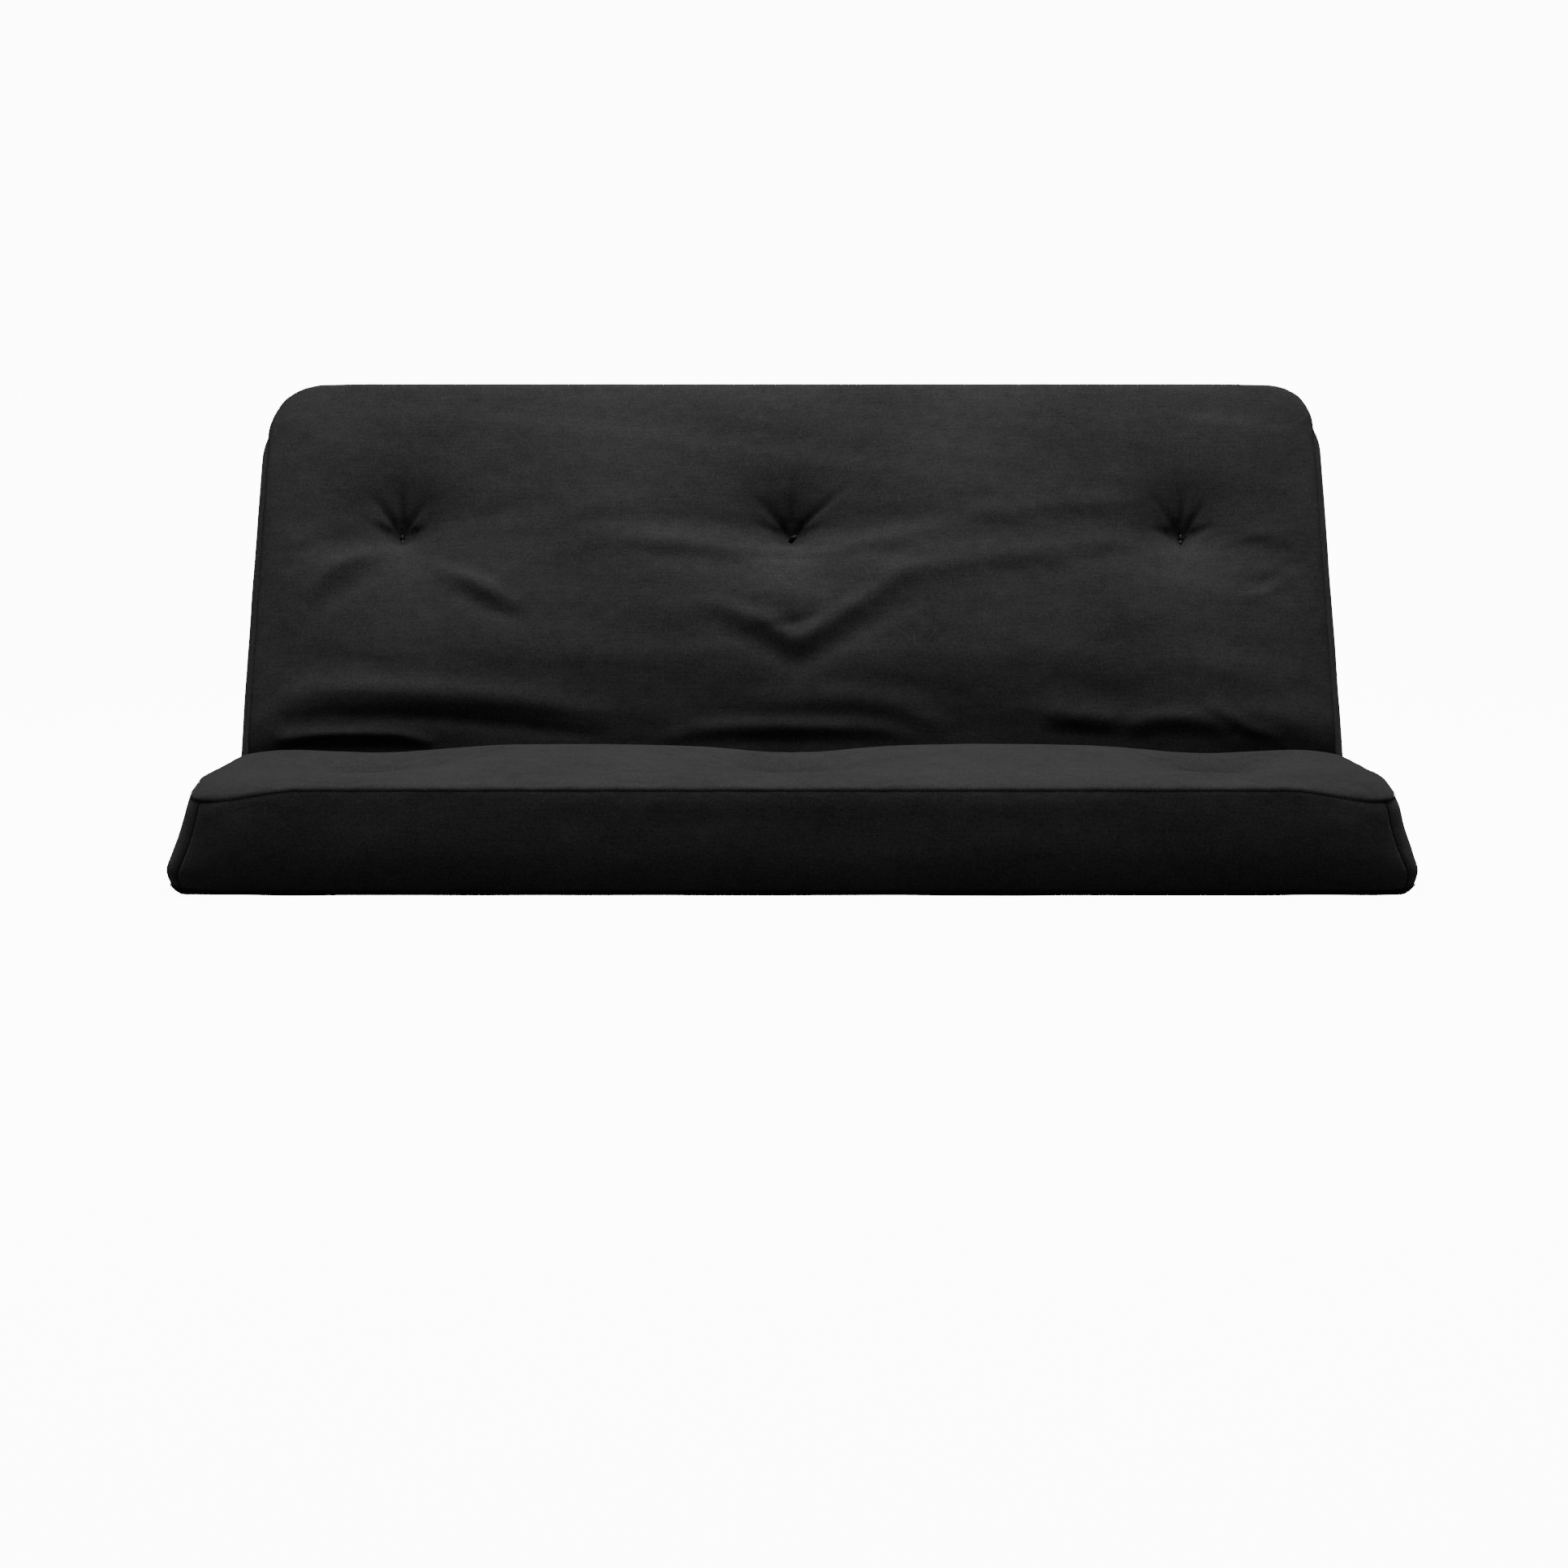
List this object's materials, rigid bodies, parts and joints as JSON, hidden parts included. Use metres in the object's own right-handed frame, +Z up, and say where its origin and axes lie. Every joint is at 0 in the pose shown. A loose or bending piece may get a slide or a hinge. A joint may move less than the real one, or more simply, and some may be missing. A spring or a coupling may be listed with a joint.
{
  "type": "futon mattress",
  "caption": "Tufted cloth futon mattress folded in its sofa pose: a thick flat seat half and a leaning back half, joined at one fold that opens out flat into a bed.",
  "frame": {"origin": "bottom centre of the mattress in its sofa pose, on the seat half's flat underside", "axes": "+X along the mattress's length, -Y towards the person sitting, +Z up; the fold line runs along X"},
  "size_m": [1.86, 0.977, 0.7757],
  "materials": {
    "cover_cloth": "fine woven black cotton blend, matt",
    "batting": "cotton and polyester batting",
    "foam": "open-cell foam",
    "twine": "twisted waxed twine",
    "toggle": "matt moulded bar",
    "label_cloth": "plain woven tape, blank"
  },
  "bodies": {
    "seat": {"seat_top_panel": "cover_cloth", "seat_bottom_panel": "cover_cloth", "front_border": "cover_cloth", "seat_left_border": "cover_cloth", "seat_right_border": "cover_cloth", "fold_underside_panel": "cover_cloth", "seat_bottom_batting": "batting", "seat_lower_batting": "batting", "seat_upper_batting": "batting", "seat_top_batting": "batting", "fold_bottom_batting": "batting", "seat_foam_core": "foam", "seat_tuft_cords": "twine", "seat_top_toggles": "toggle", "seat_bottom_toggles": "toggle"},
    "back": {"back_front_panel": "cover_cloth", "back_rear_panel": "cover_cloth", "top_border": "cover_cloth", "back_left_border": "cover_cloth", "back_right_border": "cover_cloth", "back_bottom_batting": "batting", "back_lower_batting": "batting", "back_upper_batting": "batting", "back_top_batting": "batting", "back_foam_core": "foam", "back_tuft_cords": "twine", "back_front_toggles": "toggle", "back_rear_toggles": "toggle", "sewn_label": "label_cloth"}
  },
  "joints": [
    {"name": "back_fold", "type": "hinge", "parent": "seat", "child": "back", "pos_m": [0, 0.11652, 0.053], "axis": [-1, 0, 0], "range_deg": [0, 64.2], "deforming": ["fold_underside_panel", "fold_bottom_batting"]}
  ]
}
